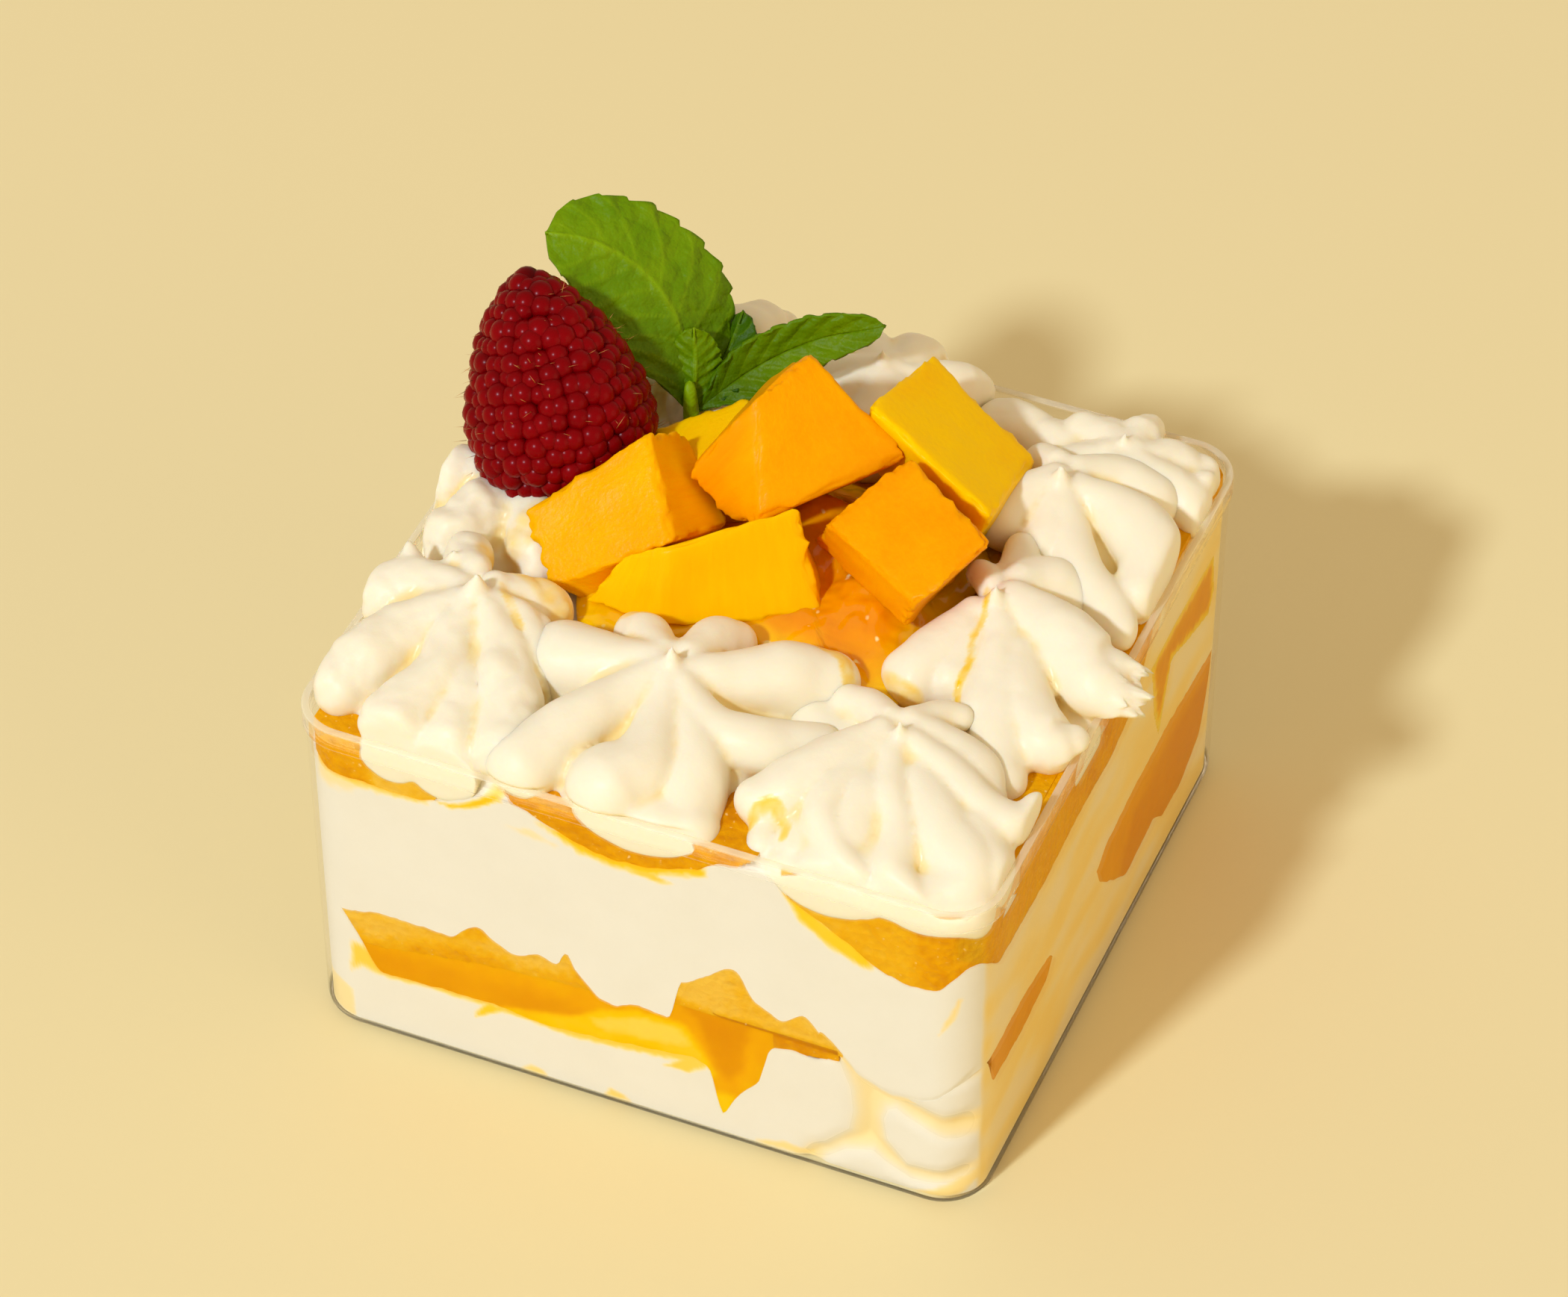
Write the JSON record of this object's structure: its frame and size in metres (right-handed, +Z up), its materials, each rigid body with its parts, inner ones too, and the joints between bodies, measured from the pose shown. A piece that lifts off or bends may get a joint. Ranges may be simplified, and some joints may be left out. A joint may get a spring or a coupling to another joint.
{
  "type": "mango cream dessert",
  "caption": "Layered mango cream dessert in a clear square box: cream, sponge and mango puree in layers, topped with piped cream stars, diced mango, a red berry and mint.",
  "frame": {"origin": "middle of the foot of the box, on the surface it stands on", "axes": "+Z up, -Y out of the front wall, +X to the right seen from the front"},
  "size_m": [0.0821, 0.08, 0.0693],
  "materials": {
    "clear_plastic": "clear gloss",
    "cream": "soft satin, whipped cream",
    "sponge": "matte crumb",
    "puree": "wet gloss",
    "mango": "moist satin",
    "berry": "moist satin",
    "mint": "satin leaf"
  },
  "bodies": {
    "root": {"box": "clear_plastic", "cream_bottom": "cream", "cream_middle": "cream", "sponge_lower_left": "sponge", "puree_lower": "puree", "sponge_lower_right": "sponge", "puree_lower_side": "puree", "puree_lower_corner": "puree", "sponge_upper_left": "sponge", "sponge_upper_middle": "sponge", "sponge_upper_right": "sponge", "puree_upper_side": "puree", "mango_top": "mango", "mango_front": "mango", "mango_right": "mango", "mango_left": "mango", "mango_back_right": "mango", "mango_back_left": "mango", "sauce_pool": "puree", "cream_star_front_left": "cream", "cream_star_front": "cream", "cream_star_front_right": "cream", "cream_star_right": "cream", "cream_star_back_right": "cream", "cream_star_corner": "cream", "cream_star_back": "cream", "cream_star_back_left": "cream", "cream_star_left": "cream", "berry": "berry", "mint_sprig": "mint"}
  },
  "joints": []
}
